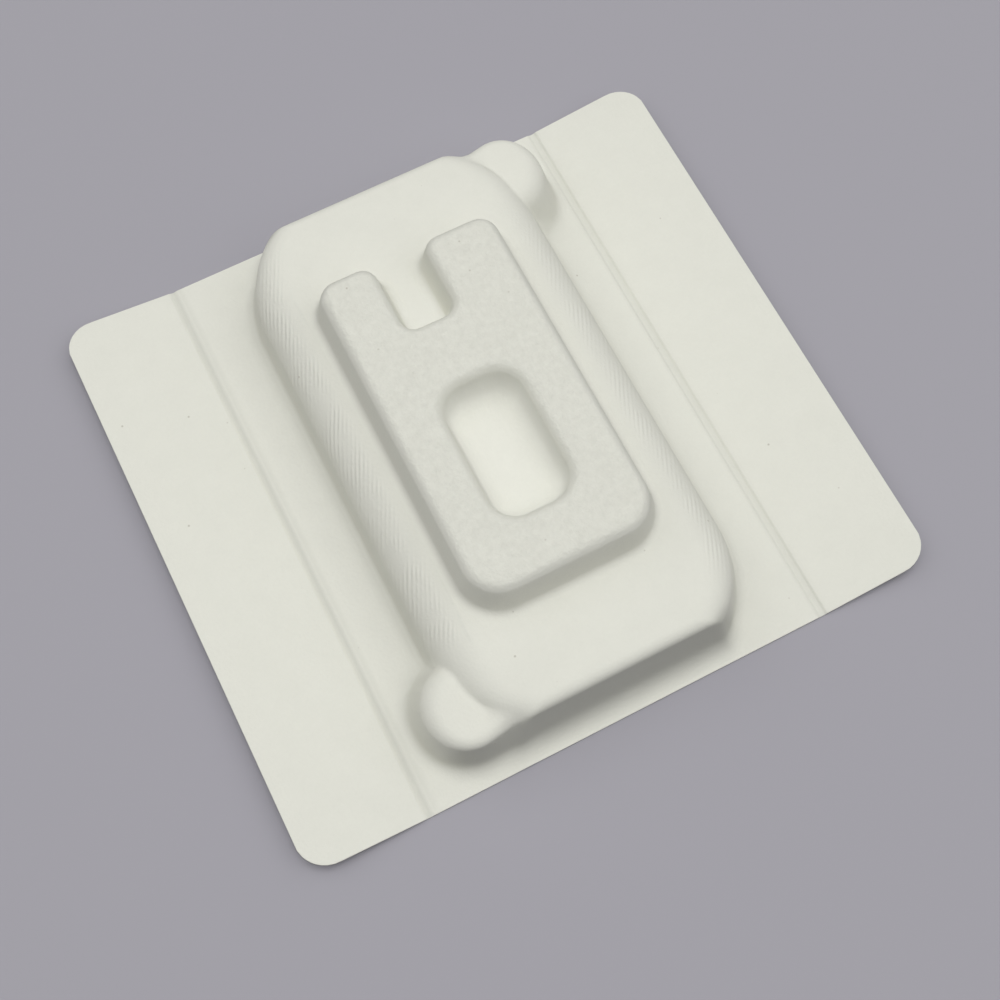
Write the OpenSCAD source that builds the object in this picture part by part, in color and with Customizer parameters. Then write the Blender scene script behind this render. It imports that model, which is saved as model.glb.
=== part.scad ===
// Molded pulp insert: one pressed paper-pulp sheet with a stepped hollow form in the
// middle and a creased-off wing along each side. The product sits in the hollow
// underneath. Millimetres, +Z up, underside of the flat sheet at z = 0.

/* [Pulp] */
// Thickness of the pressed pulp
wall = 0.9; // [0.6:0.1:1.6]
// Colour of the pulp
pulp_colour = "#dedfd6"; // [#dedfd6, #c9b28c, #9a9a94]

/* [Block] */
// Width of the block where its side walls meet the sheet
block_w = 105; // [96:1:130]
// Length of the block where its end walls meet the sheet
block_l = 190; // [170:1:230]
// Height of the block above the sheet
block_h = 26; // [24:1:36]
// Offset of the block from the middle of the sheet, across
block_x = 1; // [-1:0.25:1]
// Draft of the side walls and the rounded corners, in degrees
side_draft = 12; // [6:0.5:14]
// Draft of the end walls, in degrees
end_draft = 8; // [3:0.5:12]
// Plan radius of the block's corners
block_r = 40; // [34:1:44]
// How far the rounded plan would run on past the end walls that cut it off
corner_overrun = 8; // [6:0.5:12]
// Radius of the soft shoulder along the sides and round the corners
side_shoulder = 10.5; // [4:0.5:11]
// Radius of the edge along the top of the end walls
end_edge = 4.5; // [2:0.25:6]
// Radius of the fillet where the walls meet the sheet
block_foot = 1.8; // [1:0.1:2]

/* [Finger lobes] */
// Radius of each lobe where it meets the sheet
lobe_r = 16; // [13:0.5:17]
// Height of the lobes above the sheet
lobe_h = 21; // [16:0.5:22]
// Draft of the lobes' walls, in degrees
lobe_draft = 6; // [3:0.5:10]
// Height of the rounding at the top of a lobe
lobe_dome_h = 8.5; // [5:0.5:10]
// Run of the rounding in from the lobe's wall
lobe_dome_w = 8.5; // [5:0.5:10]
// Distance of a lobe's centre in from the block's side wall
lobe_side_in = 4.5; // [4:0.5:8]
// Distance of a lobe's centre in from the block's end wall
lobe_end_in = 16; // [15.5:0.5:22]
// Width over which a lobe blends into the block
lobe_blend = 7; // [1:0.5:9]

/* [Plateau] */
// Shelf of block top from the side wall's foot to the plateau's foot
side_shelf = 19; // [17:0.5:24]
// Shelf of block top from the end wall's foot to the plateau's foot
end_shelf = 35; // [20:0.5:45]
// Height of the plateau above the block
plateau_h = 14; // [8:0.5:20]
// Draft of the walls of the plateau, its notch and its recess, in degrees
plateau_draft = 12; // [6:0.5:14]
// Plan radius of the plateau's two near corners, at its foot
near_r = 15; // [9:0.5:20]
// Plan radius of the plateau's two far corners, at its foot
far_r = 9; // [7:0.5:11]
// Radius of the plateau's top edge
plateau_edge = 2.2; // [1.4:0.1:3]
// Radius of the fillet where the plateau meets the block
plateau_foot = 0.8; // [0.4:0.1:1.2]

/* [Notch] */
// Width of the notch's floor, which opens at the plateau's far end
notch_w = 13.5; // [9:0.5:18]
// Length of the notch's floor, from the plateau's far foot
notch_l = 26.5; // [18:0.5:34]
// Offset of the notch from the middle
notch_x = -2.5; // [-6:0.5:6]
// Plan radius of the notch's inner corners, at its floor
notch_r = 1.5; // [0.5:0.25:3]
// Plan radius of the two corners at the notch's mouth, at the plateau's foot
mouth_r = 6; // [5:0.5:7]

/* [Recess] */
// Width of the recess's floor
recess_w = 21.5; // [14:0.5:26]
// Length of the recess's floor
recess_l = 42.5; // [30:0.5:50]
// Offset of the recess from the middle, along the length
recess_y = -15; // [-22:0.5:-10]
// Plan radius of the recess's corners, at its floor
recess_r = 5.5; // [3:0.5:7]
// Radius of the recess's rounded rim
recess_rim = 2; // [1.4:0.2:4]
// Radius of the fillet round the recess's floor
recess_foot = 1.2; // [0.5:0.1:2]

/* [Sheet and wings] */
// Flat sheet from the block's side wall to the crease
side_flange = 17; // [17:0.5:30]
// Flat sheet from the block's end wall to the sheet's end
end_flange = 5; // [4.5:0.5:15]
// Width of each wing, from its crease to its free edge
wing_w = 40; // [30:1:60]
// Upward tilt of the wings, in degrees
wing_tilt = 7.5; // [2:0.5:20]
// Plan radius of the sheet's corners
sheet_r = 10; // [4:0.5:18]
// Width of the groove pressed along each crease
crease_w = 3; // [2:0.25:4]
// Depth of the groove
crease_d = 0.3; // [0.1:0.05:0.45]

/* [Hidden] */

// Steps round each plateau corner, and up the walls of the plateau and the recess
corner_steps = 6;
edge_steps = 8;
// Steps round the block: over the quadrant with a lobe and the one without
lobe_turn_steps = 46;
plain_turn_steps = 14;
// Steps up the block: to the top of the lobes, and from there to the block's top
lobe_rise_steps = 8;
shoulder_rise_steps = 6;

// Clearance by which a cutting shape runs past the face it opens
past = 1;
// Width over which the corner arcs and the end walls run into each other
corner_blend = 1.5;
// Slope, from the ray, of the flanks that tie a lobe to the block
flank = 1;
// Tightest radius left inside a bent edge
least_r = 0.3;

// An edge bent over the wall is never tighter outside than the wall is thick
side_shoulder_r = max(side_shoulder, wall + least_r);
end_edge_r = max(end_edge, wall + least_r);
plateau_edge_r = max(plateau_edge, wall + least_r);
recess_rim_r = max(recess_rim, wall + least_r);

// Sheet, in plan and across
panel_w = block_w + 2 * side_flange;
sheet_l = block_l + 2 * end_flange;
crease_x = panel_w / 2;
wing_reach = wing_w * cos(wing_tilt);
wing_rise = wing_w * sin(wing_tilt);
sheet_w = panel_w + 2 * wing_reach;
sheet_top = wing_rise + wall;

// Levels of the faces that can be seen from above
block_top = wall + block_h;
form_top = block_top + plateau_h;

// The two poles on the block's centre line that its outline is swept round, and what is placed
// from the far one. Seen from there, a lobe hides no part of its own outline.
pole_y = block_l / 2 - max(lobe_end_in + lobe_r, block_r - corner_overrun);
end_y = block_l / 2 - pole_y;
corner_x = block_w / 2 - block_r;
corner_y = end_y + corner_overrun - block_r;
lobe_x = block_w / 2 - lobe_side_in;
lobe_y = end_y - lobe_end_in;
turns = concat(
    [for (i = [0 : lobe_turn_steps]) 90 * i / lobe_turn_steps],
    [for (i = [1 : plain_turn_steps]) 90 + 90 * i / plain_turn_steps]
);

// Plateau, at its foot
plateau_x = block_w / 2 - side_shelf;
plateau_y = block_l / 2 - end_shelf;
notch_left = notch_x - notch_w / 2;
notch_right = notch_x + notch_w / 2;
notch_end = plateau_y - notch_l;

// Smooth lesser and greater of two lengths, blended over a width
function blend_step(a, b, width) = pow(max(width - abs(a - b), 0), 2) / (4 * width);
function smooth_min(a, b, width) = min(a, b) - blend_step(a, b, width);
function smooth_max(a, b, width) = max(a, b) + blend_step(a, b, width);

// Heights from lo to hi, closer together at both ends
function levels(lo, hi, steps) = [for (i = [0 : steps]) lo + (hi - lo) * (1 - cos(180 * i / steps)) / 2];

// How far a drafted wall stands in from its foot line at height z above its foot plane. The
// wall rises from a fillet and rounds over at the top. depth counts into the pulp: 0 is the
// outer face and the wall thickness is the inner face, whose arcs share the outer ones' centres.
function wall_inset(z, rise, draft, foot, edge, depth) =
    let (
        foot_x = -foot * (1 - sin(draft)) / cos(draft),
        edge_x = (edge + sin(draft) * (rise - edge)) / cos(draft),
        foot_z = foot - (foot + depth) * sin(draft),
        edge_z = rise - edge + (edge - depth) * sin(draft)
    )
    z < foot_z ? foot_x + sqrt(max(0, pow(foot + depth, 2) - pow(foot - z, 2)))
    : z > edge_z ? edge_x - sqrt(max(0, pow(edge - depth, 2) - pow(z - rise + edge, 2)))
    : z * tan(draft) + depth / cos(draft);

// Radius of a lobe at height z: a drafted wall from a fillet, rounded over at its top
function lobe_radius(z, depth) =
    let (
        dome_z = lobe_h - lobe_dome_h,
        wall_r = lobe_r - wall_inset(min(z, dome_z), 2 * lobe_h, lobe_draft, block_foot, wall, depth),
        up = max(0, z - dome_z) / (lobe_dome_h - depth)
    )
    up < 1 ? wall_r - min(lobe_dome_w, wall_r) * (1 - sqrt(1 - up * up)) : 0;

// Reach along the ray at an angle from the pole to the far side of a circle. A ray that misses
// it reaches the less far the wider it misses.
function circle_reach(angle, x, y, radius) =
    let (
        away = norm([x, y]),
        along = away * cos(angle - atan2(y, x)),
        aside = abs(away * sin(angle - atan2(y, x)))
    )
    aside < radius ? along + sqrt(radius * radius - aside * aside) : along - flank * (aside - radius);

// Reach of the rounded plan along a ray in the first quadrant: its side, its end or its corner
function plan_reach(angle, inset) =
    let (
        side = (block_w / 2 - inset) / cos(angle),
        end = (corner_y + block_r - inset) / sin(angle)
    )
    side * sin(angle) <= corner_y ? side
    : end * cos(angle) <= corner_x ? end
    : circle_reach(angle, corner_x, corner_y, block_r - inset);

// Reach of the block from its pole at height z: the rounded plan, cut off by the end wall, and
// the lobe, which only the quadrant from 0 to 90 degrees has
function block_reach(angle, z, depth) =
    let (
        turned = angle > 90 ? 180 - angle : angle,
        side_in = wall_inset(z, block_h, side_draft, block_foot, side_shoulder_r, depth),
        end_in = wall_inset(z, block_h, end_draft, block_foot, end_edge_r, depth),
        reach = smooth_min(plan_reach(turned, side_in), (end_y - end_in) / sin(turned), corner_blend)
    )
    let (radius = lobe_radius(z, depth))
    radius > 0 ? smooth_max(reach, circle_reach(angle, lobe_x, lobe_y, radius), lobe_blend) : reach;

// Outline of the block at height z above the sheet: half of it round the far pole, and the
// same half turned through 180 degrees
function block_ring(z, depth, at) =
    let (half = [
        for (angle = turns)
            let (reach = block_reach(angle, z, depth))
            [reach * cos(angle), pole_y + reach * sin(angle)]
    ])
    [for (side = [1, -1], p = half) [block_x + side * p.x, side * p.y, at]];

// Triangles that close a block ring: a fan round each pole and a band between the poles. The
// poles come after the ring's own points.
poles = [[block_x, pole_y], [block_x, -pole_y]];
block_cap = let (
    n = len(turns),
    far = 2 * n,
    near = 2 * n + 1
) concat(
    [for (i = [0 : n - 2]) [far, i, i + 1]],
    [for (i = [n : 2 * n - 2]) [near, i, i + 1]],
    [[far, n - 1, n], [far, n, near], [near, 2 * n - 1, 0], [near, 0, far]]
);

// Outline of rounded corners, each [x, y, radius, turn, heading], moved in by inset. The turn is
// 1 at an outer corner and -1 at an inner one, and the heading is the outward normal before it.
function corner_ring(corners, inset, at) = [
    for (c = corners)
        let (
            r = max(c[2] - c[3] * inset, least_r),
            before = [cos(c[4]), sin(c[4])],
            after = [cos(c[4] + 90 * c[3]), sin(c[4] + 90 * c[3])],
            centre = [c.x, c.y] - (inset + c[3] * r) * (before + after)
        )
        for (i = [0 : corner_steps])
            let (
                turn = 90 * i / corner_steps,
                p = centre + c[3] * r * (cos(turn) * before + sin(turn) * after)
            )
            [p.x, p.y, at]
];

plateau_corners = [
    [-plateau_x, -plateau_y, near_r, 1, 180],
    [plateau_x, -plateau_y, near_r, 1, 270],
    [plateau_x, plateau_y, far_r, 1, 0],
    [notch_right, plateau_y, mouth_r, 1, 90],
    [notch_right, notch_end, notch_r, -1, 180],
    [notch_left, notch_end, notch_r, -1, 90],
    [notch_left, plateau_y, mouth_r, 1, 0],
    [-plateau_x, plateau_y, far_r, 1, 90],
];

// Triangles that close a plateau ring: one fan for each prong beside the notch, one below it
plateau_cap = let (
    n = corner_steps + 1,
    right = 2 * n - 1,
    notch_end_right = 5 * n - 1
) concat(
    [for (i = [right + 1 : notch_end_right - 1]) [right, i, i + 1]],
    [for (i = [notch_end_right : 8 * n - 2]) [0, i, i + 1]],
    [for (i = [0 : right - 1]) [notch_end_right, i, i + 1]]
);

recess_corners = [
    for (i = [0 : 3])
        let (heading = 180 + 90 * i, sx = i == 0 || i == 3 ? -1 : 1, sy = i < 2 ? -1 : 1)
        [sx * recess_w / 2, recess_y + sy * recess_l / 2, recess_r, 1, heading]
];
recess_cap = [for (i = [1 : 4 * (corner_steps + 1) - 2]) [0, i, i + 1]];

// Solid through a stack of like rings, closed at both ends by the cap's triangles. A cap may
// use hubs, points in its own plane that are counted after the ring's.
module loft(rings, cap, hubs = []) {
    n = len(rings[0]);
    last = (len(rings) - 1) * n;
    floor_hub = last + n;
    lid_hub = floor_hub + len(hubs);
    sides = [
        for (k = [0 : len(rings) - 2], j = [0 : n - 1])
            let (a = k * n + j, b = k * n + (j + 1) % n)
            each [[a, a + n, b + n], [a, b + n, b]]
    ];
    points = concat(
        [for (r = rings) each r],
        [for (h = hubs) [h.x, h.y, rings[0][0].z]],
        [for (h = hubs) [h.x, h.y, rings[len(rings) - 1][0].z]]
    );
    floor = [for (t = cap) [for (i = t) i < n ? i : i - n + floor_hub]];
    lid = [for (t = cap) [for (k = [2, 1, 0]) t[k] < n ? t[k] + last : t[k] - n + lid_hub]];
    polyhedron(points, concat(floor, sides, lid));
}

// Block and its two lobes, as deep in the pulp as depth says. The inner one runs on below.
module block(depth) {
    lower = levels(-depth, lobe_h - depth, lobe_rise_steps);
    upper = levels(lobe_h - depth, block_h - depth, shoulder_rise_steps);
    below = depth > 0 ? [block_ring(-depth, depth, -past)] : [];
    rings = concat(
        below,
        [for (z = lower) block_ring(z, depth, wall + z)],
        [for (i = [1 : shoulder_rise_steps]) block_ring(upper[i], depth, wall + upper[i])]
    );
    loft(rings, block_cap, poles);
}

// Plateau with its notch
module plateau(depth) {
    loft([
        for (z = levels(-depth, plateau_h - depth, edge_steps))
            corner_ring(
                plateau_corners,
                wall_inset(z, plateau_h, plateau_draft, plateau_foot, plateau_edge_r, depth),
                block_top + z
            )
    ], plateau_cap);
}

// How far the recess's wall stands out from its floor at height z above the block's top. It is
// a drafted wall upside down: its fillet is the rim and its rounded edge is the floor's fillet.
function recess_inset(z, depth) =
    wall_inset(plateau_h - z, plateau_h, plateau_draft, recess_rim_r, recess_foot, -depth)
    - wall_inset(plateau_h, plateau_h, plateau_draft, recess_rim_r, recess_foot, 0);

// Hollow of the recess, from the block's top to past the plateau's
module recess(depth) {
    stages = levels(-depth, plateau_h - depth, edge_steps);
    rim = plateau_h - depth;
    loft(concat(
        [for (z = stages) corner_ring(recess_corners, recess_inset(z, depth), block_top + z)],
        [corner_ring(recess_corners, recess_inset(rim, depth), form_top + past)]
    ), recess_cap);
}

// Flat sheet, creases and wings
module sheet() {
    half_groove = crease_w / 2;
    lean = [cos(wing_tilt), sin(wing_tilt)];
    up = [-sin(wing_tilt), cos(wing_tilt)];
    fold = [crease_x - wall * tan(wing_tilt / 2), wall];
    half = [
        [crease_x, 0],
        [crease_x, 0] + wing_w * lean,
        [crease_x, 0] + wing_w * lean + wall * up,
        fold + half_groove * lean,
        fold + (half_groove - crease_d) * lean - crease_d * up,
        fold + [crease_d - half_groove, -crease_d],
        fold + [-half_groove, 0],
    ];
    mirrored = [for (i = [len(half) - 1 : -1 : 0]) [-half[i].x, half[i].y]];
    intersection() {
        rotate([90, 0, 0])
            linear_extrude(sheet_l, center = true)
                polygon(concat(half, mirrored));
        translate([0, 0, -past])
            linear_extrude(sheet_top + 2 * past)
                rounded_rectangle(sheet_w, sheet_l, sheet_r);
    }
}

module rounded_rectangle(w, l, r) {
    square([w - 2 * r, l], center = true);
    square([w, l - 2 * r], center = true);
    for (x = [-1, 1], y = [-1, 1])
        translate([x * (w / 2 - r), y * (l / 2 - r)])
            circle(r, $fn = 48);
}

module pulp_insert() {
    color(pulp_colour)
        difference() {
            union() {
                sheet();
                block(0);
                difference() {
                    plateau(0);
                    recess(0);
                }
            }
            union() {
                block(wall);
                difference() {
                    plateau(wall);
                    recess(wall);
                }
            }
        }
}

pulp_insert();
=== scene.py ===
"""Looks of a molded pulp insert: one pressed paper-pulp sheet with a stepped hollow form and
two creased side wings, lying on a pale floor. Lengths are in millimetres until a mesh is made.
"""
import math

import bpy
import numpy as np
from mathutils import Matrix, Vector


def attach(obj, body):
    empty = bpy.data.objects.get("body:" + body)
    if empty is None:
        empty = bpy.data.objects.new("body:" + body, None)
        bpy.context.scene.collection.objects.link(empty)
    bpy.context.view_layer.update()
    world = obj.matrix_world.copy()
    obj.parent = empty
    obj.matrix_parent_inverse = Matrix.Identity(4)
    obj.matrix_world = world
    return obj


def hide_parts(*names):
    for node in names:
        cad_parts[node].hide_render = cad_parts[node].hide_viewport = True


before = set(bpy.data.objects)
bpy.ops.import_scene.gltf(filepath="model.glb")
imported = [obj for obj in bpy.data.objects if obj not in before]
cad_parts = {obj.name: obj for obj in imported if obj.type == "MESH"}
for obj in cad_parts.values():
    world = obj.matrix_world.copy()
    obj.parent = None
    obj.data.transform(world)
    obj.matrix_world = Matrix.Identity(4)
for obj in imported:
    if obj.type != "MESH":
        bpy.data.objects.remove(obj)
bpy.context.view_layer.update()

MM = 0.001

# Sizes of the insert. The plan and heights follow the part's source; edges and joins are softer here
WALL = 0.9
# Drawn a little thinner than the wall, so that the underside stays clear of the floor
PULP_THICK, RIM_ROUND = WALL - 0.1, 0.2
BLOCK_W, BLOCK_L, BLOCK_H = 105.0, 190.3, 26.0
BLOCK_X, BLOCK_Y = 1.0, 0.75
BLOCK_TOP = WALL + BLOCK_H
SIDE_DRAFT, END_DRAFT = math.radians(12.0), math.radians(8.5)
BLOCK_R, CORNER_OVERRUN = 40.0, 8.0
SIDE_SHOULDER, CORNER_SHOULDER, END_EDGE = 15.0, 8.2, 4.0
# How far inside the block's sides and ends its flat top starts
TOP_SIDE_IN, TOP_END_IN = 15.2, 8.6
LOBE_H, LOBE_SIDE_IN, LOBE_END_IN = 21.0, 5.5, 17.8
LOBE_AT = (BLOCK_W / 2 - LOBE_SIDE_IN, BLOCK_L / 2 - LOBE_END_IN)
# A lobe's foot radius, draft in degrees and edge: to the side, then the change with the way it
# faces and with the square of that
LOBE_FOOT, LOBE_DRAFT, LOBE_EDGE = (17.3, -1.6, 1.9), (14, -7.75, 2.25), (7.0, -2.25, -1.25)
PLATEAU_LEFT, PLATEAU_RIGHT, PLATEAU_FAR, PLATEAU_NEAR = -33.0, 34.0, 61.0, -60.4
PLATEAU_H, PLATEAU_DRAFT = 14.0, math.radians(13.0)
PLATEAU_FOOT, NOTCH_FOOT, PLATEAU_EDGE = 2.8, 3.6, 3.8
NEAR_R, FAR_R, MOUTH_R = 14.6, 9.0, 7.8
NOTCH_LEFT, NOTCH_RIGHT, NOTCH_END, NOTCH_R = -8.1, 4.3, 34.2, 2.0
RECESS_X, RECESS_Y, RECESS_HALF_L, RECESS_R = 5.4, -15.2, 15.3, 1.2
RECESS_DRAFT, RECESS_RIM, RECESS_FOOT = math.radians(13.0), 3.8, 6.5
LEAST_R = 0.3
SHEET_HALF_L, CREASE_X, SHEET_R = 100.0, 69.5, 10.0
WING_W, WING_TILT = 40.0, math.radians(7.5)
CREASE_HALF, CREASE_D, GROOVE_HALF = 1.9, 0.4, 1.75
# Half width of the groove's flat bottom on the right and on the left
GROOVE_FLAT = {1: 0.75, -1: 0.0}

# Soft joins pressed into the pulp: lobe to block, form to sheet, corner to end wall. The first two
# are wider at the end walls
LOBE_BLEND, LOBE_END_BLEND = 0.9, 8.0
FOOT_BLEND, FOOT_END_BLEND, FOOT_END_REACH = 3.8, 5.5, 2.0
SKIRT_RISE, SKIRT_W = 3.5, 14.0
CORNER_BLEND = 0.8
# Where, counted from the block's middle, the shoulder narrows, the lobe's join widens, the foot's
# join widens and the skirt runs out
SHOULDER_RUN, LOBE_RUN, FOOT_RUN, SKIRT_RUN = (60, 90), (81, 93), (87, 96), (70, 95)
# The foot's join stays narrower by this share near a lobe's middle, and is wide from there on out
LOBE_FOOT_CUT, LOBE_FOOT_RUN = 0.75, (14, 28)


def ease(value, start, end):
    """0 before start, 1 past end, and an even S-curve between them."""
    t = np.clip((value - start) / (end - start), 0, 1)
    return t * t * (3 - 2 * t)


def smooth_min(a, b, width):
    """Lesser of a and b, lowered by a parabola where they are closer than the width."""
    return np.minimum(a, b) - np.maximum(width - np.abs(a - b), 0) ** 2 / (4 * width)


def wall_gap(inset, z, rise, draft, edge):
    """Distance from a drafted wall with a rounded top edge, minus inside. The wall leans in by
    the draft from inset 0, the lid lies at the rise, and an arc of radius edge joins them."""
    centre_in = (edge + np.sin(draft) * (rise - edge)) / np.cos(draft)
    over, out = z - (rise - edge), centre_in - inset
    turn = np.arctan2(over, out)
    lean = z * np.sin(draft) - inset * np.cos(draft)
    flat = np.maximum(lean, z - rise)
    return np.where((turn > draft) & (turn < math.pi / 2), np.hypot(over, out) - edge, flat)


def side_inset(x, y):
    """How far a plan point lies inside the block's rounded plan, which overruns its end walls."""
    qx = np.abs(x - BLOCK_X) - (BLOCK_W / 2 - BLOCK_R)
    qy = np.abs(y - BLOCK_Y) - (BLOCK_L / 2 + CORNER_OVERRUN - BLOCK_R)
    corner = np.hypot(np.maximum(qx, 0), np.maximum(qy, 0))
    return BLOCK_R - corner - np.minimum(np.maximum(qx, qy), 0)


def from_lobe(x, y):
    """How far a plan point lies from the middle of the nearer of two round lobes at opposite
    corners, and how squarely it faces the block's end: 1 to the end, 0 to the side, -1 back along
    the block."""
    half = np.where((x - BLOCK_X) * LOBE_AT[1] + (y - BLOCK_Y) * LOBE_AT[0] > 0, 1, -1)
    dx, dy = half * (x - BLOCK_X) - LOBE_AT[0], half * (y - BLOCK_Y) - LOBE_AT[1]
    away = np.hypot(dx, dy)
    return away, dy / np.maximum(away, 1e-9)


def lobe_gap(away, facing, z):
    """Distance from a lobe, minus inside. Its foot, draft and edge change with the way it faces:
    steep and tight to the end, softer to the side and back along the block."""
    foot, draft, edge = (side + change * facing + square * facing ** 2
                         for side, change, square in (LOBE_FOOT, LOBE_DRAFT, LOBE_EDGE))
    return wall_gap(foot - away, z, LOBE_H, np.radians(draft), edge)


def form_gap(x, y, z):
    """Distance from the block with its two lobes on the sheet, minus inside: the rounded plan cut
    off by the end walls, run softly into the lobes, and all of it run softly into the sheet. The
    sheet rises a little towards the block's sides, the shoulder narrows towards its corners, and
    the soft join reaches higher up the ends."""
    along = np.abs(y - BLOCK_Y)
    shoulder = SIDE_SHOULDER + (CORNER_SHOULDER - SIDE_SHOULDER) * ease(along, *SHOULDER_RUN)
    sides = wall_gap(side_inset(x, y), z, BLOCK_H, SIDE_DRAFT, shoulder)
    ends = wall_gap(BLOCK_L / 2 - along, z, BLOCK_H, END_DRAFT, END_EDGE)
    edge = np.maximum(CORNER_BLEND - np.abs(sides - ends), 0) ** 2 / (4 * CORNER_BLEND)
    below_top = np.clip((BLOCK_H - z) / END_EDGE, 0, 1)
    block = np.maximum(sides, ends) + edge * below_top
    away, facing = from_lobe(x, y)
    lobe = lobe_gap(away, facing, z)
    lobe_blend = LOBE_BLEND + (LOBE_END_BLEND - LOBE_BLEND) * ease(along, *LOBE_RUN)
    at_end = ease(along, *FOOT_RUN) * (1 - LOBE_FOOT_CUT * (1 - ease(away, *LOBE_FOOT_RUN)))
    foot_blend = FOOT_BLEND + (FOOT_END_BLEND - FOOT_BLEND) * at_end
    reach = 1 + (FOOT_END_REACH - 1) * at_end
    skirt = np.clip(1 + side_inset(x, y) / SKIRT_W, 0, 1) ** 2 * (1 - ease(along, *SKIRT_RUN))
    sheet = (z - SKIRT_RISE * skirt) / reach
    return smooth_min(smooth_min(block, lobe, lobe_blend), sheet, foot_blend)


def halve(inside, low, high, steps=32):
    """Where a rising function of one length passes 0, by halving the stretch from low to high."""
    for _ in range(steps):
        middle = (low + high) / 2
        under = inside(middle) < 0
        low, high = np.where(under, middle, low), np.where(under, high, middle)
    return (low + high) / 2


def wall_profile(rise, draft, foot, edge, steps):
    """Insets and heights up a wall, one row for each step and one column for each foot radius: the
    foot's fillet, the drafted wall, the rounded edge."""
    a = np.linspace(0, math.pi / 2 - draft, steps[0])[:, None]
    b = np.linspace(draft, math.pi / 2, steps[2])[:, None]
    foot_x = -foot * (1 - math.sin(draft)) / math.cos(draft)
    edge_x = (edge + math.sin(draft) * (rise - edge)) / math.cos(draft)
    foot_z, edge_z = foot - foot * np.cos(a), rise - edge + edge * np.sin(b) + 0 * foot
    up = np.linspace(0, 1, steps[1] + 2)[1:-1, None]
    up = foot_z[-1] + up * (edge_z[0] - foot_z[-1])
    inset = [foot_x + foot * np.sin(a), up * math.tan(draft), edge_x - edge * np.cos(b) + 0 * foot]
    return np.concatenate(inset), np.concatenate([foot_z, up, edge_z])


def outline(corners, place, inset):
    """Plan points round a figure of rounded corners, each moved in by its inset. A place counts the
    arcs and the straight runs between them in turn: 0 to 1 is the first corner's arc, 1 to 2 the
    run to the second corner, and so on. A corner is its x, y, radius, turn (1 outer, -1 inner) and
    the heading of the outward normal before it."""
    part = np.floor(place).astype(int) % (2 * len(corners))
    share = (place - np.floor(place))[:, None]

    def corner(k):
        x, y, radius, turn, heading = np.array(corners, float)[k].T[:, :, None]
        bend = turn * np.maximum(radius - turn * inset[:, None], LEAST_R)
        before = np.concatenate([np.cos(heading), np.sin(heading)], 1)
        after = np.concatenate([-turn * np.sin(heading), turn * np.cos(heading)], 1)
        centre = np.concatenate([x, y], 1) - (inset[:, None] + bend) * (before + after)
        return centre, bend, before, after

    centre, bend, before, after = corner(part // 2)
    turned = share * math.pi / 2
    arc = centre + bend * (np.cos(turned) * before + np.sin(turned) * after)
    start = centre + bend * after
    centre, bend, before, after = corner((part // 2 + 1) % len(corners))
    run = start + share * (centre + bend * before - start)
    return np.where((part % 2 == 0)[:, None], arc, run)


# Stations round the form, counted over the far end: side, corner, prong, mouth, notch wall,
# notch corner and notch end; then over the near end: side, corner and middle; and along a side
SIDE_N, CORNER_N, PRONG_N, MOUTH_N = 8, 30, 14, 16
NOTCH_WALL_N, NOTCH_CORNER_N, NOTCH_END_N = 12, 8, 10
NEAR_SIDE_N, NEAR_CORNER_N, NEAR_MIDDLE_N = 10, 40, 30
LONG_N = 34
FAR_COUNTS = [SIDE_N, CORNER_N, PRONG_N, MOUTH_N, NOTCH_WALL_N, NOTCH_CORNER_N, NOTCH_END_N,
              NOTCH_CORNER_N, NOTCH_WALL_N, MOUTH_N, PRONG_N, CORNER_N, SIDE_N]
NEAR_COUNTS = [NEAR_SIDE_N, NEAR_CORNER_N, NEAR_MIDDLE_N, NEAR_CORNER_N, NEAR_SIDE_N]
# Angles, seen from the middle of each end, at which those stretches start
FAR_ANGLES = [0, 8, 42, 70, 90.3, 92.5, 93.3, 100.5, 101.5, 104, 121, 140, 170, 180]
NEAR_ANGLES = [0, 10, 60, 120, 170, 180]
POLE_Y = 62.0


def stations():
    """Origin and direction, in plan, of each ray that the form's profile is carried along: a fan
    round each end of the block, and level rays along its two sides."""
    def fan(counts, angles):
        at = np.concatenate([[0], np.cumsum(counts)])
        return np.radians(np.interp(np.arange(at[-1]) + 0.5, at, angles))
    far, near = fan(FAR_COUNTS, FAR_ANGLES), fan(NEAR_COUNTS, NEAR_ANGLES)
    side_y = np.linspace(POLE_Y, -POLE_Y, LONG_N + 2)[1:-1]
    straight = np.zeros(LONG_N)
    far_y, near_y = np.full(len(far), POLE_Y), np.full(len(near), -POLE_Y)
    origin_y = np.concatenate([far_y, side_y, near_y, -side_y])
    heading = np.concatenate([far, straight + math.pi, near + math.pi, straight])
    origin = np.stack([np.full(len(origin_y), BLOCK_X), origin_y], 1)
    return origin, np.stack([np.cos(heading), np.sin(heading)], 1)


FOLD_X = CREASE_X - WALL * math.tan(WING_TILT / 2)
PANEL_X = FOLD_X - CREASE_HALF


def panel_edge(origin, heading):
    """Where each ray leaves the flat panel between the creases. The ray nearest each corner is
    turned to the corner itself."""
    half = np.array([PANEL_X, SHEET_HALF_L])
    with np.errstate(divide="ignore", invalid="ignore"):
        reach = (half - np.sign(heading) * origin) / np.abs(heading)
    reach = np.nanmin(np.where(np.abs(heading) < 1e-9, np.inf, reach), 1)
    edge = origin + reach[:, None] * heading
    for corner in half * np.array([[1, 1], [-1, 1], [-1, -1], [1, -1]]):
        edge[np.argmin(np.hypot(*(edge - corner).T))] = corner
    return edge


BLOCK_ROWS, RAY_SAMPLES, RAY_REACH = 56, 600, 90.0
# The first row lies this far in from the panel's edge, which leaves room for the rounded rim. The
# rest lie about as close as this length or this bend asks
RIM_ROW, ROW_LENGTH, ROW_BEND = 0.6, 2.2, math.radians(8)


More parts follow.
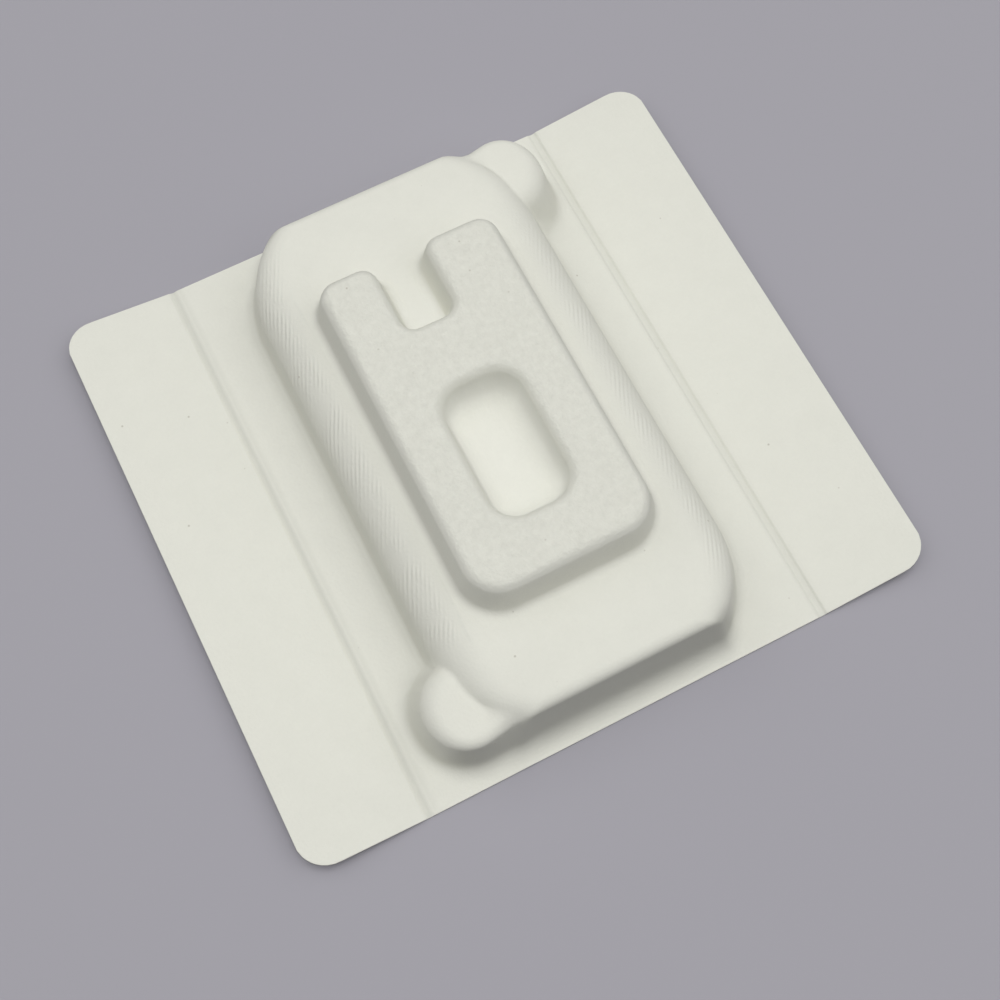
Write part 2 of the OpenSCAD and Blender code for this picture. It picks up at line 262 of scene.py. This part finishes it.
def block_rows(origin, heading):
    """Rows from the panel's edge in over the foot, wall, lobes and shoulder to the block's flat
    top. Along each ray the height is where the form's gap is 0, and the rows lie closer together
    where the profile bends."""
    def off_top(r):
        x, y = (origin + r[:, None] * heading).T
        end_in = BLOCK_L / 2 - np.abs(y - BLOCK_Y)
        return -np.minimum(side_inset(x, y) - TOP_SIDE_IN, end_in - TOP_END_IN)

    reach = halve(off_top, np.zeros(len(origin)), np.full(len(origin), RAY_REACH))
    inner, outer = origin + reach[:, None] * heading, panel_edge(origin, heading)
    t = np.linspace(0, 1, RAY_SAMPLES)
    x = outer[:, :1] + t * (inner - outer)[:, :1]
    y = outer[:, 1:] + t * (inner - outer)[:, 1:]
    lowest, highest = np.full(x.shape, -0.01), np.full(x.shape, BLOCK_H + 1.0)
    z = halve(lambda h: form_gap(x, y, h), lowest, highest)
    z[:, 0] = 0
    run = np.hypot(np.diff(x, axis=1), np.diff(y, axis=1))
    rise = np.diff(z, axis=1)
    slope = np.arctan2(rise, run)
    bend = np.abs(np.diff(slope, axis=1, prepend=slope[:, :1]))
    cost = np.hypot(run, rise) / ROW_LENGTH + bend / ROW_BEND
    cost = np.concatenate([np.zeros((len(x), 1)), np.cumsum(cost, 1)], 1)
    first = RIM_ROW / np.hypot(*(inner - outer).T)
    even = np.linspace(0, 1, BLOCK_ROWS - 1)
    at = np.array([np.interp(np.interp(f, t, c) * (1 - even) + even * c[-1], c, t)
                   for f, c in zip(first, cost)])
    at = np.concatenate([np.zeros((len(x), 1)), at], 1)
    pick = lambda values: np.array([np.interp(a, t, v) for a, v in zip(at, values)]).T
    return np.stack([pick(x), pick(y), pick(z) + WALL], 2)


# Station numbers at which a new stretch of the plateau's outline starts, going round once
far_starts = np.cumsum(FAR_COUNTS)[:-1]
near_starts = far_starts[-1] + SIDE_N + LONG_N + np.cumsum(NEAR_COUNTS)[:-1]
STARTS = np.concatenate([far_starts, near_starts])
STATIONS = sum(FAR_COUNTS) + sum(NEAR_COUNTS) + 2 * LONG_N
# The place on the recess's outline that faces each of those stations across the plateau's top
RECESS_PLACES = [-0.27, 0, 0.36, 0.46, 0.59, 1.2, 2.15, 2.89, 2.95, 2.98, 3.02, 3.27, 4, 5, 6, 7]


def places(starts_at, whole):
    """Place on an outline of each station, spread evenly between the stretches' starts."""
    number = np.arange(STATIONS) + 0.5
    number = np.where(number < STARTS[0], number + STATIONS, number)
    at = np.append(STARTS, STARTS[0] + STATIONS)
    return np.interp(number, at, np.append(starts_at, starts_at[0] + whole))


def plateau_ring(inset):
    """The plateau's outline with its notch, station by station, moved in by inset."""
    q = math.pi / 2
    corners = [
        (PLATEAU_RIGHT, PLATEAU_FAR, FAR_R, 1, 0), (NOTCH_RIGHT, PLATEAU_FAR, MOUTH_R, 1, q),
        (NOTCH_RIGHT, NOTCH_END, NOTCH_R, -1, 2 * q), (NOTCH_LEFT, NOTCH_END, NOTCH_R, -1, q),
        (NOTCH_LEFT, PLATEAU_FAR, MOUTH_R, 1, 0), (PLATEAU_LEFT, PLATEAU_FAR, FAR_R, 1, q),
        (PLATEAU_LEFT, PLATEAU_NEAR, NEAR_R, 1, 2 * q),
        (PLATEAU_RIGHT, PLATEAU_NEAR, NEAR_R, 1, 3 * q)]
    return outline(corners, places(np.arange(len(STARTS)), 2 * len(corners)), inset)


def recess_ring(inset):
    """The recess's outline at its floor, station by station, moved in by inset."""
    q = math.pi / 2
    far, near = RECESS_Y + RECESS_HALF_L, RECESS_Y - RECESS_HALF_L
    corners = [(RECESS_X, far, RECESS_R, 1, 0), (-RECESS_X, far, RECESS_R, 1, q),
               (-RECESS_X, near, RECESS_R, 1, 2 * q), (RECESS_X, near, RECESS_R, 1, 3 * q)]
    return outline(corners, places(RECESS_PLACES, 2 * len(corners)), inset)


def level(ring, z):
    """A plan ring at its height, or at the height of each of its points."""
    return np.concatenate([ring, np.broadcast_to(z, len(ring))[:, None]], 1)


def between(first, last, shares):
    """Rings that lie at given shares of the way from one ring to the next."""
    return [first + share * (last - first) for share in shares]


FLAT_SHARES, FLOOR_SHARES = (0.04, 0.2, 0.5, 0.8, 0.96), (0.1, 0.5, 1.0)
# Rows on the foot, wall and edge of the plateau, and on the rim, wall and foot of the recess
PLATEAU_STEPS, RECESS_STEPS = (7, 2, 7), (7, 2, 6)
HUB_R = 2.5
# Stretches of the plateau's outline over which the foot widens into the notch and narrows again
INTO_NOTCH, OUT_OF_NOTCH = (2.2, 3.4), (7.6, 8.8)


def form_rows():
    """The whole form as one grid of rows by stations: from the panel's edge up the block, over
    its flat top, up the plateau, over its flat top, down the recess and over its floor to a small
    ring at its middle, on which the stations lie more evenly."""
    origin, heading = stations()
    rows = list(block_rows(origin, heading))
    stretch = places(np.arange(len(STARTS)), len(STARTS))
    in_notch = ease(stretch, *INTO_NOTCH) * (1 - ease(stretch, *OUT_OF_NOTCH))
    foot = PLATEAU_FOOT + (NOTCH_FOOT - PLATEAU_FOOT) * in_notch
    inset, z = wall_profile(PLATEAU_H, PLATEAU_DRAFT, foot, PLATEAU_EDGE, PLATEAU_STEPS)
    plateau = [level(plateau_ring(i), BLOCK_TOP + h) for i, h in zip(inset, z)]
    rows += between(rows[-1], plateau[0], FLAT_SHARES) + plateau
    rim = np.full(len(origin), RECESS_RIM)
    inset, z = wall_profile(PLATEAU_H, RECESS_DRAFT, rim, RECESS_FOOT, RECESS_STEPS)
    recess = [level(recess_ring(i - inset[-1]), BLOCK_TOP + PLATEAU_H - h)
              for i, h in zip(inset, z)]
    rows += between(rows[-1], recess[0], FLAT_SHARES) + recess
    angle = np.unwrap(np.arctan2(rows[-1][:, 1] - RECESS_Y, rows[-1][:, 0]))
    even = math.tau * np.arange(len(origin)) / len(origin)
    turn = (angle + even + np.mean(angle - even)) / 2
    hub = np.stack([HUB_R * np.cos(turn), RECESS_Y + HUB_R * np.sin(turn)], 1)
    rows += between(rows[-1], level(hub, BLOCK_TOP), FLOOR_SHARES)
    return np.array(rows)


# Columns of a wing, counted out from the fold: across the groove, then to the free edge
GROOVE_COLUMNS = np.array([0.4, 0.75, 0.95, 1.1, 1.25, 1.4, 1.55, GROOVE_HALF])
FLAT_COLUMNS = [2.0, 3, 6, 10, 15, 20, 25, 29, 31.5, 33.5, 35.2, 36.7, 37.8, 38.7, 39.3, 39.94]
WING_COLUMNS = np.concatenate([-GROOVE_COLUMNS[::-1], [0.0], GROOVE_COLUMNS, FLAT_COLUMNS])


def wing(side, edge_y):
    """One wing as a grid of edge stations by columns: out from the crease's groove along the
    tilted wing. The groove is pressed in by a smooth trough, flat at the bottom on one side, and
    each column's length follows the rounded corners of the free edge. Also gives the share of the
    full thickness that is left at each point."""
    s = WING_COLUMNS[None, :]
    press = CREASE_D * (1 - ease(np.abs(s), GROOVE_FLAT[side], GROOVE_HALF))
    lift = np.where(s > 0, s, 0)
    x = FOLD_X + np.where(s > 0, s * math.cos(WING_TILT), s)
    z = WALL + lift * math.sin(WING_TILT) - press
    past = np.clip(x - (CREASE_X + WING_W * math.cos(WING_TILT) - SHEET_R), 0, SHEET_R)
    half = SHEET_HALF_L - SHEET_R + np.sqrt(SHEET_R ** 2 - past ** 2)
    y = edge_y[:, None] * half / SHEET_HALF_L
    points = np.stack(np.broadcast_arrays(side * x, y, z), 2)
    return points, np.broadcast_to(1 - press / WALL, y.shape)


def grid_faces(index):
    """Four-cornered faces over a grid of vertex numbers, turned so that they face up."""
    corners = [index[:-1, :-1], index[:-1, 1:], index[1:, 1:], index[1:, :-1]]
    return np.stack(corners, 2).reshape(-1, 4)


def pulp_surface():
    """Upper face of the whole insert: the form's grid, closed round and at the recess's middle,
    and the two wings, which share the panel's edge stations. Also gives the share of the full
    thickness that is left at each point."""
    rows = form_rows()
    n_rows, n = rows.shape[:2]
    index = np.arange(n_rows * n).reshape(n_rows, n)
    round_index = np.concatenate([index, index[:, :1]], 1)
    points = [rows.reshape(-1, 3), [[0.0, RECESS_Y, BLOCK_TOP]]]
    fullness = [np.ones(n_rows * n + 1)]
    faces = [grid_faces(round_index)]
    hub = n_rows * n
    fan = np.stack([round_index[-1, :-1], round_index[-1, 1:], np.full(n, hub)], 1)
    count = hub + 1
    for side in (1, -1):
        on_edge = np.where(np.abs(rows[0, :, 0] - side * PANEL_X) < 1e-6)[0]
        on_edge = on_edge[np.argsort(rows[0, on_edge, 1])]
        new, share = wing(side, rows[0, on_edge, 1])
        numbers = count + np.arange(new.shape[0] * new.shape[1]).reshape(new.shape[:2])
        count += numbers.size
        points.append(new.reshape(-1, 3))
        fullness.append(share.ravel())
        faces.append(grid_faces(np.concatenate([on_edge[:, None], numbers], 1)[:, ::side]))
    return np.concatenate(points), np.concatenate(faces), fan, np.concatenate(fullness)


def bell(value, middle, width):
    """Smooth bump, 1 at the middle and about a third at the width from it."""
    return np.exp(-((value - middle) / width) ** 2)


# Painted shade lines along the creases: place across the sheet, half width and strength
CREASE_SHADE_LINES = ((-69.3, 1.1, 1.2), (-66.9, 0.9, 0.45),
                (68.1, 0.9, 0.35), (69.3, 1.0, 0.55), (70.6, 0.9, 0.5))
# The tool marks are weaker on the right side; the painted light is weaker on the notch's floor than
# on the recess's, and weaker on the recess's floor than on the lower part of its walls
RIGHT_MARKS, NOTCH_PAINTED_LIGHT, RECESS_FLOOR_PAINTED_LIGHT = 0.6, 0.8, 0.35


def masks(points):
    """Where the pulp looks different, as shares worked out from each point's place: the rough top
    of the plateau, painted light on the floors of recess and notch, the tool marks on the block's
    shoulders, a painted shade line along the plateau's far and right edges, painted shade along the
    creases, and painted shade on the end walls below the rounded top edge."""
    x, y, z = points.T
    rise, inset, end_in = z - BLOCK_TOP, side_inset(x, y), BLOCK_L / 2 - np.abs(y - BLOCK_Y)
    away = from_lobe(x, y)[0]
    in_recess = (np.abs(x) < RECESS_X + 8) & (np.abs(y - RECESS_Y) < RECESS_HALF_L + 8)
    in_notch = (x > NOTCH_LEFT) & (x < NOTCH_RIGHT) & (y > NOTCH_END)
    # Painted light on the floors of the recess and notch, strongest low on the recess's walls
    on_floor = 1 - (1 - RECESS_FLOOR_PAINTED_LIGHT) * ease(-rise, -4, -0.5)
    recess_painted_light = in_recess * ease(-rise, -14, -7) * on_floor
    notch_painted_light = in_notch * ease(-rise, -11, -3) * (1 - ease(y, 40, 58))
    shoulder = ease(inset, 0, 2) * (1 - ease(inset, 11, 14.5)) * ease(z, 11, 18)
    clear = ease(away, 16, 22) * ease(end_in, 11, 21)
    lobe_drop = 5.5 * (1 - ease(away, 14, 22))
    below_edge = 1 - ease(z - (BLOCK_TOP - 1.5 - lobe_drop), -2, 0.8)
    far_right = np.maximum(ease(x, 27, 30), ease(y, 53, 56))
    return {
        "rough_top": ease(rise, 12.5, 14),
        # Painted light on the recess and notch floors
        "painted_floor_light": np.maximum(recess_painted_light, NOTCH_PAINTED_LIGHT * notch_painted_light),
        "tool_marks": shoulder * clear * np.where(x > 0, RIGHT_MARKS, 1.0),
        # Painted shade in a line along the plateau's far and right edges
        "painted_edge_shade": bell(rise, 11.8, 1.3) * far_right,
        # Painted shade along the creases
        "crease": sum(strength * bell(x, at, width) for at, width, strength in CREASE_SHADE_LINES),
        # Painted shade on the end walls below the rounded top edge
        "painted_end_wall_shade": (np.abs(x) < PANEL_X) * (1 - ease(end_in, 3, 9)) * ease(z, 2, 9) * below_edge}


points, quads, fan, fullness = pulp_surface()
shares = masks(points)
mesh = bpy.data.meshes.new("pulp_sheet")
mesh.from_pydata(points * MM, [], quads.tolist() + fan.tolist())
mesh.update()
mesh.shade_smooth()
for name, share in shares.items():
    attribute = mesh.attributes.new(name, "FLOAT", "POINT")
    attribute.data.foreach_set("value", share.astype(np.float32))
insert = bpy.data.objects.new("pulp_sheet", mesh)
bpy.context.collection.objects.link(insert)
thinned = insert.vertex_groups.new(name="thickness")
for share in np.unique(fullness):
    thinned.add(np.where(fullness == share)[0].tolist(), float(share), "REPLACE")
thick = insert.modifiers.new("pulp thickness", "SOLIDIFY")
thick.thickness = PULP_THICK * MM
thick.offset = -1.0
thick.use_even_offset = True
thick.vertex_group = thinned.name
rim = insert.modifiers.new("cut rim", "BEVEL")
rim.width = RIM_ROUND * MM
rim.segments = 3
rim.limit_method = "ANGLE"
rim.angle_limit = math.radians(75)
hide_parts("pulp_insert")
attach(insert, "root")


def linear(hex_colour):
    """Linear colour with alpha of an sRGB hex value."""
    parts = [int(hex_colour[k:k + 2], 16) / 255 for k in (1, 3, 5)]
    return [c / 12.92 if c <= 0.04045 else ((c + 0.055) / 1.055) ** 2.4 for c in parts] + [1.0]


def add_node(tree, kind, settings=None, **links):
    """Adds a node with its settings. A link's value is an output socket or a plain value for the
    input of that name, with an underscore for a space, or for the input of that number after i."""
    node = tree.nodes.new(kind)
    for key, value in (settings or {}).items():
        setattr(node, key, value)
    for key, value in links.items():
        numbered = key[0] == "i" and key[1:].isdigit()
        socket = node.inputs[int(key[1:]) if numbered else key.replace("_", " ")]
        if isinstance(value, bpy.types.NodeSocket):
            tree.links.new(value, socket)
        else:
            socket.default_value = value
    return node


def new_material(name):
    """New node material, its node tree and its shader."""
    material = bpy.data.materials.new(name)
    material.use_nodes = True
    tree = material.node_tree
    return material, tree, tree.nodes["Principled BSDF"]


MATH, MIX, RANGE = "ShaderNodeMath", "ShaderNodeMix", "ShaderNodeMapRange"
TIMES, TIMES_PLUS = {"operation": "MULTIPLY"}, {"operation": "MULTIPLY_ADD"}
GREATER, LARGER = {"operation": "GREATER_THAN"}, {"operation": "MAXIMUM"}
RGBA = {"data_type": "RGBA"}

# Matte warm-white paper pulp: fine fibre grain, cloudy tone, a rougher top on the plateau, fine ribs
# left by the tool on the block's shoulders, and a few dark specks of old paper
pulp, tree, shader = new_material("pressed paper pulp")
shader.inputs["Roughness"].default_value = 0.9
shader.inputs["Specular IOR Level"].default_value = 0.2
place = add_node(tree, "ShaderNodeTexCoord").outputs["Object"]
mask = {name: add_node(tree, "ShaderNodeAttribute", {"attribute_name": name}).outputs["Fac"]
        for name in shares}
PER_MM = 1000.0
# Fibres are finer than this in real pulp; they are drawn about 1 mm long so that they show
FIBRE_MM, CLOUD_MM, CLUMP_MM, RIB_MM, SPECK_CELL_MM = 1.1, 8.0, 1.9, 1.4, 6.0
fibre, cloud, clump = (
    add_node(tree, "ShaderNodeTexNoise", Vector=place, Scale=PER_MM / size, Detail=detail,
             Roughness=roughness).outputs["Fac"]
    for size, detail, roughness in ((FIBRE_MM, 3.0, 0.6), (CLOUD_MM, 4.0, 0.55),
                                    (CLUMP_MM, 3.0, 0.6)))
RIB_TURN = math.radians(26.8)
turned = add_node(tree, "ShaderNodeMapping", Vector=place,
                  Rotation=(0, 0, RIB_TURN)).outputs["Vector"]
ribs = add_node(tree, "ShaderNodeTexWave", {"bands_direction": "X"}, Vector=turned,
                Scale=PER_MM * math.tau / (20 * RIB_MM), Distortion=1.5, Detail=2.0,
                Detail_Scale=0.4).outputs["Fac"]
rough = add_node(tree, MATH, TIMES, i0=clump, i1=mask["rough_top"]).outputs[0]
marks = add_node(tree, MATH, TIMES, i0=ribs, i1=mask["tool_marks"]).outputs[0]
broken = add_node(tree, RANGE, Value=cloud, From_Min=0.37, From_Max=0.6).outputs[0]
marks = add_node(tree, MATH, TIMES, i0=marks, i1=broken).outputs[0]
# Height in millimetres of grain, clumps and ribs
GRAIN_H, CLUMP_H, RIB_H = 0.10, 0.4, 0.18
height = add_node(tree, MATH, TIMES, i0=fibre, i1=GRAIN_H).outputs[0]
height = add_node(tree, MATH, TIMES_PLUS, i0=rough, i1=CLUMP_H, i2=height).outputs[0]
height = add_node(tree, MATH, TIMES_PLUS, i0=marks, i1=RIB_H, i2=height).outputs[0]
bump = add_node(tree, "ShaderNodeBump", Height=height, Distance=MM, Strength=1.0).outputs["Normal"]
tree.links.new(bump, shader.inputs["Normal"])
# Tone from darker to paler pulp: cloudy and fibrous all over, and mottled on the rough top
tone = add_node(tree, MATH, TIMES_PLUS, i0=cloud, i1=0.2, i2=0.315).outputs[0]
tone = add_node(tree, MATH, TIMES_PLUS, i0=fibre, i1=0.17, i2=tone).outputs[0]
mottle = add_node(tree, MATH, TIMES_PLUS, i0=clump, i1=0.8, i2=-0.59).outputs[0]
tone = add_node(tree, MATH, TIMES_PLUS, i0=mottle, i1=mask["rough_top"], i2=tone).outputs[0]
colour = add_node(tree, MIX, RGBA, i0=tone, i6=linear("#d4d4ca"), i7=linear("#ecece2")).outputs[2]
# Painted light on the recess and notch floors, and painted shade along the plateau's far and right
# edges, in the creases and on the end walls
for name, share, shade in (("painted_floor_light", 0.28, "#f4f4f4"), ("painted_edge_shade", 0.22, "#aeafa5"),
                           ("crease", 0.3, "#b4b5ab"), ("painted_end_wall_shade", 0.5, "#aeafa5")):
    part = add_node(tree, MATH, TIMES, i0=mask[name], i1=share).outputs[0]
    colour = add_node(tree, MIX, RGBA, i0=part, i6=colour, i7=linear(shade)).outputs[2]
# A small dark speck in a few of the cells
cells = add_node(tree, "ShaderNodeTexVoronoi", Vector=place, Scale=PER_MM / SPECK_CELL_MM).outputs
speck = add_node(tree, RANGE, Value=cells["Distance"], From_Min=0.08, From_Max=0.03).outputs[0]
chosen = add_node(tree, MATH, GREATER, i0=cells["Color"], i1=0.74).outputs[0]
speck = add_node(tree, MATH, TIMES, i0=speck, i1=chosen).outputs[0]
colour = add_node(tree, MIX, RGBA, i0=speck, i6=colour, i7=linear("#c2bfb3")).outputs[2]
tree.links.new(colour, shader.inputs["Base Color"])
insert.data.materials.append(pulp)

# Plain matte floor, wide enough to fill the view, just under the insert
floor_mat, tree, shader = new_material("pale matte floor")
shader.inputs["Base Color"].default_value = linear("#a5a3aa")
shader.inputs["Roughness"].default_value = 0.95
shader.inputs["Specular IOR Level"].default_value = 0.1
FLOOR_HALF, FLOOR_Z = 3.0, -0.00005
floor_mesh = bpy.data.meshes.new("floor")
floor_corners = [(x * FLOOR_HALF, y * FLOOR_HALF, FLOOR_Z)
                 for x, y in ((-1, -1), (1, -1), (1, 1), (-1, 1))]
floor_mesh.from_pydata(floor_corners, [], [(0, 1, 2, 3)])
floor = bpy.data.objects.new("floor", floor_mesh)
floor.data.materials.append(floor_mat)
bpy.context.collection.objects.link(floor)

# Camera at the photograph's viewing angle
FOCAL_PX, IMAGE_PX = 1509.26, 1000
AZIMUTH, ELEVATION, ROLL = -0.468789, 1.223110, 0.004761
TARGET, DISTANCE = Vector((-3.929, -18.631, WALL)), 491.978
back = Vector((math.sin(AZIMUTH) * math.cos(ELEVATION), -math.cos(AZIMUTH) * math.cos(ELEVATION),
               math.sin(ELEVATION)))
right = Vector((0, 0, 1)).cross(back).normalized()
up = back.cross(right)
right, up = (right * math.cos(ROLL) - up * math.sin(ROLL),
             right * math.sin(ROLL) + up * math.cos(ROLL))
lens = bpy.data.cameras.new("camera")
lens.sensor_width = 36.0
lens.lens = FOCAL_PX * lens.sensor_width / IMAGE_PX
lens.clip_start = 0.01
camera = bpy.data.objects.new("camera", lens)
standpoint = Matrix.Translation((TARGET + DISTANCE * back) * MM)
camera.matrix_world = standpoint @ Matrix((right, up, back)).transposed().to_4x4()
bpy.context.collection.objects.link(camera)
bpy.context.scene.camera = camera

SOFTBOX_AWAY = 4.0


def softbox(name, azimuth, elevation, width, level):
    """Round softbox so many degrees wide as seen from the insert, far enough off to light it
    evenly. The level is what it adds to the light on a surface that faces it."""
    azimuth, elevation = math.radians(azimuth), math.radians(elevation)
    half = math.radians(width / 2)
    toward = Vector((math.cos(elevation) * math.cos(azimuth),
                     math.cos(elevation) * math.sin(azimuth), math.sin(elevation)))
    light = bpy.data.lights.new(name, "AREA")
    light.shape = "DISK"
    light.size = 2 * SOFTBOX_AWAY * math.tan(half)
    light.energy = level * math.pi * (SOFTBOX_AWAY / math.cos(half)) ** 2
    lamp = bpy.data.objects.new(name, light)
    lamp.location = toward * SOFTBOX_AWAY
    lamp.rotation_euler = toward.to_track_quat("Z", "Y").to_euler()
    bpy.context.collection.objects.link(lamp)


# Two lights overhead, one of them wide, and weaker ones round the insert
softbox("overhead light", 0, 90, 40, 1.42)
softbox("wide overhead light", 0, 90, 100, 0.50)
softbox("right light", 10, 45, 50, 0.38)
softbox("far left light", 125, 45, 50, 0.45)
softbox("left light", 180, 45, 50, 0.22)
softbox("near right light", 315, 45, 50, 0.45)

# The room adds a little even light, and is seen as a pale backdrop past the floor
ROOM_LIGHT = (0.04, 0.04, 0.04, 1)
world = bpy.data.worlds.new("room")
world.use_nodes = True
tree = world.node_tree
ray = add_node(tree, "ShaderNodeLightPath").outputs
seen = add_node(tree, MATH, LARGER, i0=ray["Is Camera Ray"], i1=ray["Is Glossy Ray"]).outputs[0]
seen = add_node(tree, MATH, LARGER, i0=seen, i1=ray["Is Transmission Ray"]).outputs[0]
room = add_node(tree, MIX, RGBA, i0=seen, i6=ROOM_LIGHT, i7=linear("#b4b2b8")).outputs[2]
tree.links.new(room, tree.nodes["Background"].inputs["Color"])
bpy.context.scene.world = world
bpy.context.scene.view_settings.view_transform = "Standard"
